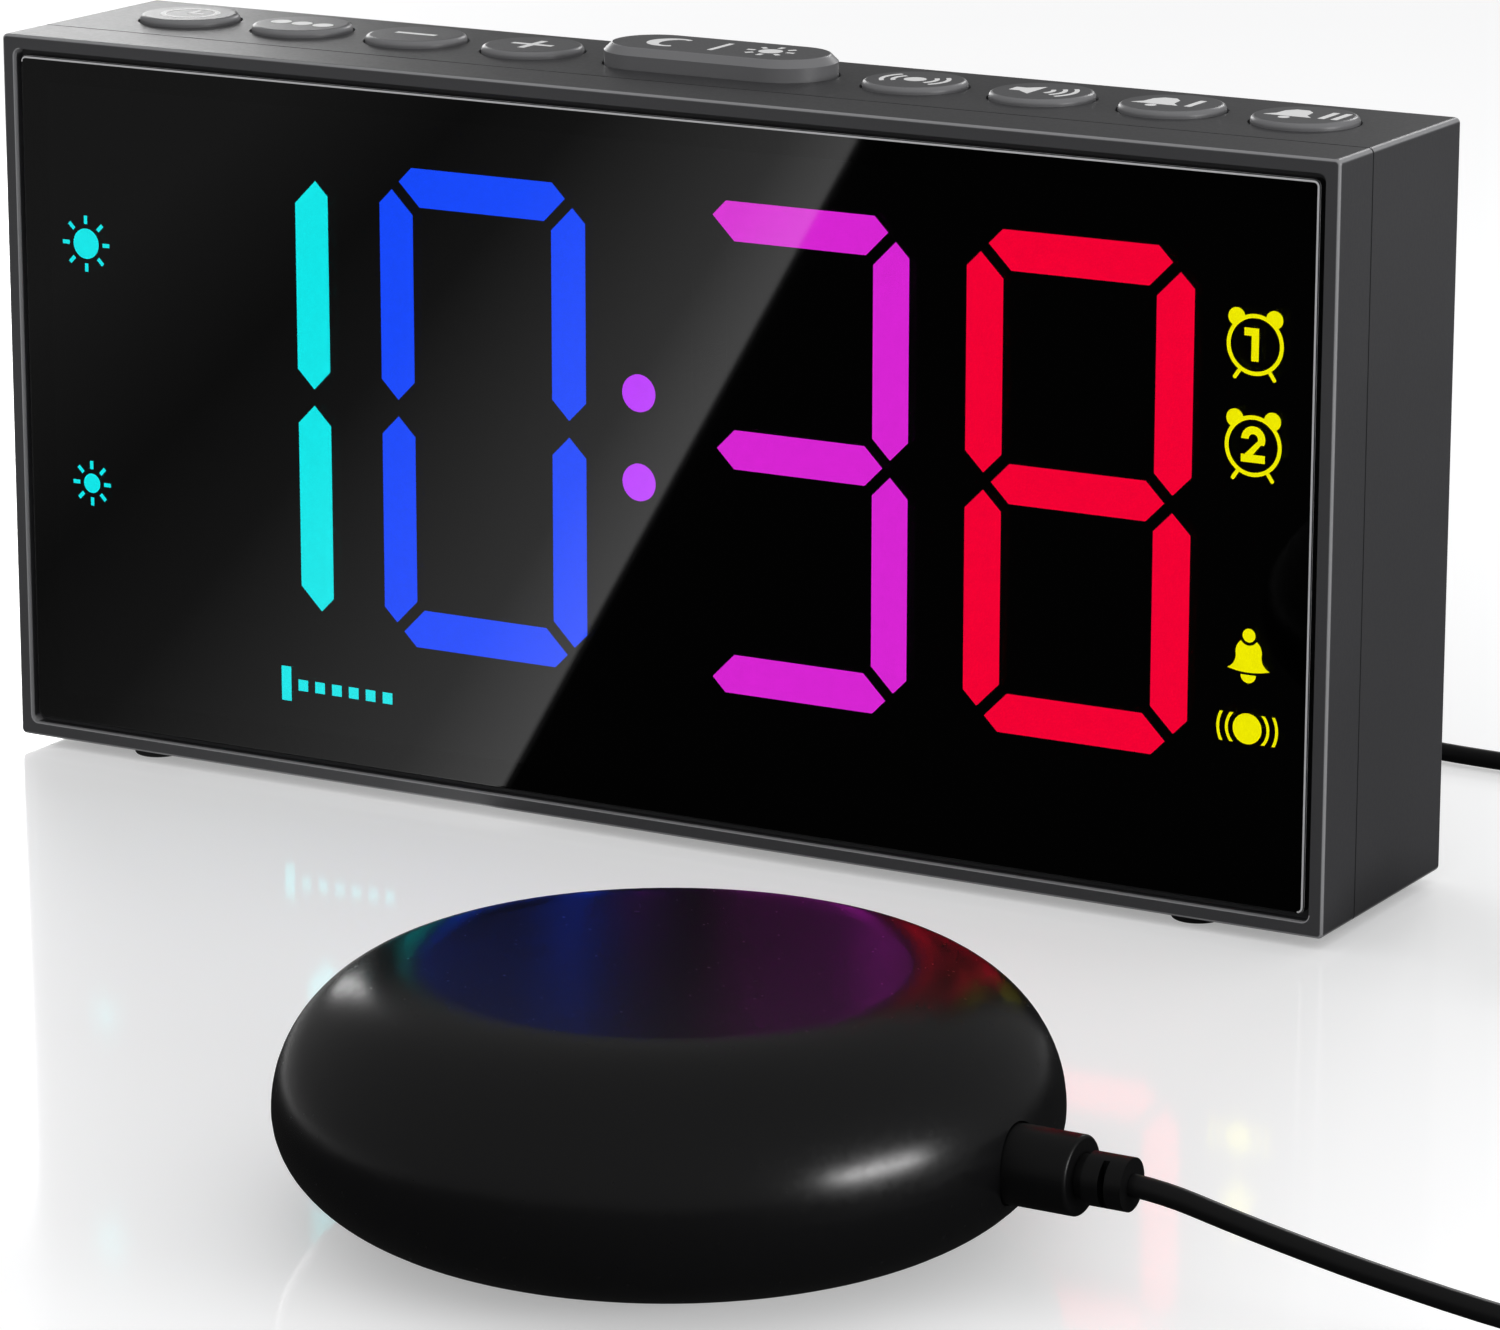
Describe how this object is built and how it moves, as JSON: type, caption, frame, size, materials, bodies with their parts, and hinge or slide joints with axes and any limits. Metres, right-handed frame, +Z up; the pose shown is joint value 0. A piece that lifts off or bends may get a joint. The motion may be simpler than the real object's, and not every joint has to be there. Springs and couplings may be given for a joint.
{
  "type": "bed shaker alarm clock",
  "caption": "Wide digital desk alarm clock with coloured seven-segment digits and top keys, wired to a pebble-shaped vibrating bed shaker.",
  "frame": {"origin": "middle of the footprint of clock and shaker together, on the table", "axes": "+X to the right of the display as its reader sees it, +Y from the display to the clock's back, +Z up"},
  "size_m": [0.3004, 0.2503, 0.0979],
  "materials": {
    "case_plastic": "finely textured satin",
    "smoked_lens": "polished smoked acrylic",
    "black_housing": "dull black",
    "lit_cyan": "diffusing, lit from behind",
    "lit_blue": "diffusing, lit from behind",
    "lit_violet": "diffusing, lit from behind",
    "lit_magenta": "diffusing, lit from behind",
    "lit_red": "diffusing, lit from behind",
    "lit_yellow": "diffusing, lit from behind",
    "dark_segment": "diffusing, unlit",
    "circuit_board": "solder-masked laminate",
    "led_white": "moulded light package",
    "screw_steel": "zinc plated",
    "key_plastic": "satin",
    "keypad_rubber": "dull silicone",
    "foot_rubber": "dull",
    "jack_plastic": "moulded",
    "plated_brass": "nickel plated",
    "speaker_steel": "pressed and plated",
    "speaker_paper": "doped paper",
    "spring_steel": "bright strip",
    "cell_steel": "bright drawn",
    "shaker_plastic": "satin gloss",
    "weight_brass": "turned",
    "plug_plastic": "moulded satin",
    "cord_vinyl": "satin vinyl jacket",
    "tie_strap": "woven hook and loop strap"
  },
  "bodies": {
    "clock_set": {"alarm_marks": "lit_yellow", "bell_mark": "lit_yellow", "case_screws": "screw_steel", "cell_clip": "spring_steel", "clamp_screws": "screw_steel", "clock_plug": "plug_plastic", "coin_cell": "cell_steel", "colon_dots": "lit_violet", "digit_hour_tens": "lit_cyan", "digit_hour_units": "lit_blue", "digit_minute_tens": "lit_magenta", "digit_minute_units": "lit_red", "display_board": "circuit_board", "display_housing": "black_housing", "display_leds": "led_white", "display_lens": "smoked_lens", "display_screws": "screw_steel", "front_frame": "case_plastic", "jack_pins": "plated_brass", "keypad_board": "circuit_board", "keypad_mat": "keypad_rubber", "keypad_screws": "screw_steel", "lead_clock_run": "cord_vinyl", "lead_coil": "cord_vinyl", "lead_shaker_run": "cord_vinyl", "lead_tie": "tie_strap", "main_board": "circuit_board", "main_board_screws": "screw_steel", "motor_can": "cell_steel", "motor_clamp": "spring_steel", "plug_barrels": "plated_brass", "power_inlet": "jack_plastic", "rear_case": "case_plastic", "rubber_feet": "foot_rubber", "shaker_base": "shaker_plastic", "shaker_outlet": "jack_plastic", "shaker_pad": "foot_rubber", "shaker_plug": "plug_plastic", "shaker_screws": "screw_steel", "shaker_shell": "shaker_plastic", "shaker_socket": "jack_plastic", "speaker_cone": "speaker_paper", "speaker_frame": "speaker_steel", "status_marks": "lit_cyan", "unlit_segments": "dark_segment", "vibration_mark": "lit_yellow"},
    "key_alarm_1": {"button_alarm_1": "key_plastic"},
    "key_alarm_2": {"button_alarm_2": "key_plastic"},
    "key_colour": {"button_colour": "key_plastic"},
    "key_minus": {"button_minus": "key_plastic"},
    "key_plus": {"button_plus": "key_plastic"},
    "key_time": {"button_time": "key_plastic"},
    "key_vibrate": {"button_vibrate": "key_plastic"},
    "key_volume": {"button_volume": "key_plastic"},
    "key_snooze_bar": {"snooze_bar": "key_plastic"},
    "battery_door": {"battery_door": "case_plastic"},
    "rotor": {"motor_shaft": "cell_steel", "eccentric_weight": "weight_brass"}
  },
  "joints": [
    {"name": "press_alarm_1", "type": "slide", "parent": "clock_set", "child": "key_alarm_1", "axis": [0, 0, -1], "range_m": [0, 0.0008], "stiffness_N_per_m": 800, "deforming": ["keypad_mat"]},
    {"name": "press_alarm_2", "type": "slide", "parent": "clock_set", "child": "key_alarm_2", "axis": [0, 0, -1], "range_m": [0, 0.0008], "stiffness_N_per_m": 800, "deforming": ["keypad_mat"]},
    {"name": "press_colour", "type": "slide", "parent": "clock_set", "child": "key_colour", "axis": [0, 0, -1], "range_m": [0, 0.0008], "stiffness_N_per_m": 800, "deforming": ["keypad_mat"]},
    {"name": "press_minus", "type": "slide", "parent": "clock_set", "child": "key_minus", "axis": [0, 0, -1], "range_m": [0, 0.0008], "stiffness_N_per_m": 800, "deforming": ["keypad_mat"]},
    {"name": "press_plus", "type": "slide", "parent": "clock_set", "child": "key_plus", "axis": [0, 0, -1], "range_m": [0, 0.0008], "stiffness_N_per_m": 800, "deforming": ["keypad_mat"]},
    {"name": "press_time", "type": "slide", "parent": "clock_set", "child": "key_time", "axis": [0, 0, -1], "range_m": [0, 0.0008], "stiffness_N_per_m": 800, "deforming": ["keypad_mat"]},
    {"name": "press_vibrate", "type": "slide", "parent": "clock_set", "child": "key_vibrate", "axis": [0, 0, -1], "range_m": [0, 0.0008], "stiffness_N_per_m": 800, "deforming": ["keypad_mat"]},
    {"name": "press_volume", "type": "slide", "parent": "clock_set", "child": "key_volume", "axis": [0, 0, -1], "range_m": [0, 0.0008], "stiffness_N_per_m": 800, "deforming": ["keypad_mat"]},
    {"name": "press_snooze_bar", "type": "slide", "parent": "clock_set", "child": "key_snooze_bar", "axis": [0, 0, -1], "range_m": [0, 0.0008], "stiffness_N_per_m": 800, "deforming": ["keypad_mat"]},
    {"name": "battery_door_hinge", "type": "hinge", "parent": "clock_set", "child": "battery_door", "pos_m": [-0.03486, 0.09635, 0.0323], "axis": [-1, 0, 0], "range_deg": [0, 90]},
    {"name": "motor_spin", "type": "hinge", "parent": "clock_set", "child": "rotor", "pos_m": [0.06494, -0.05655, 0.0128], "axis": [0, 1, 0], "continuous": true}
  ]
}
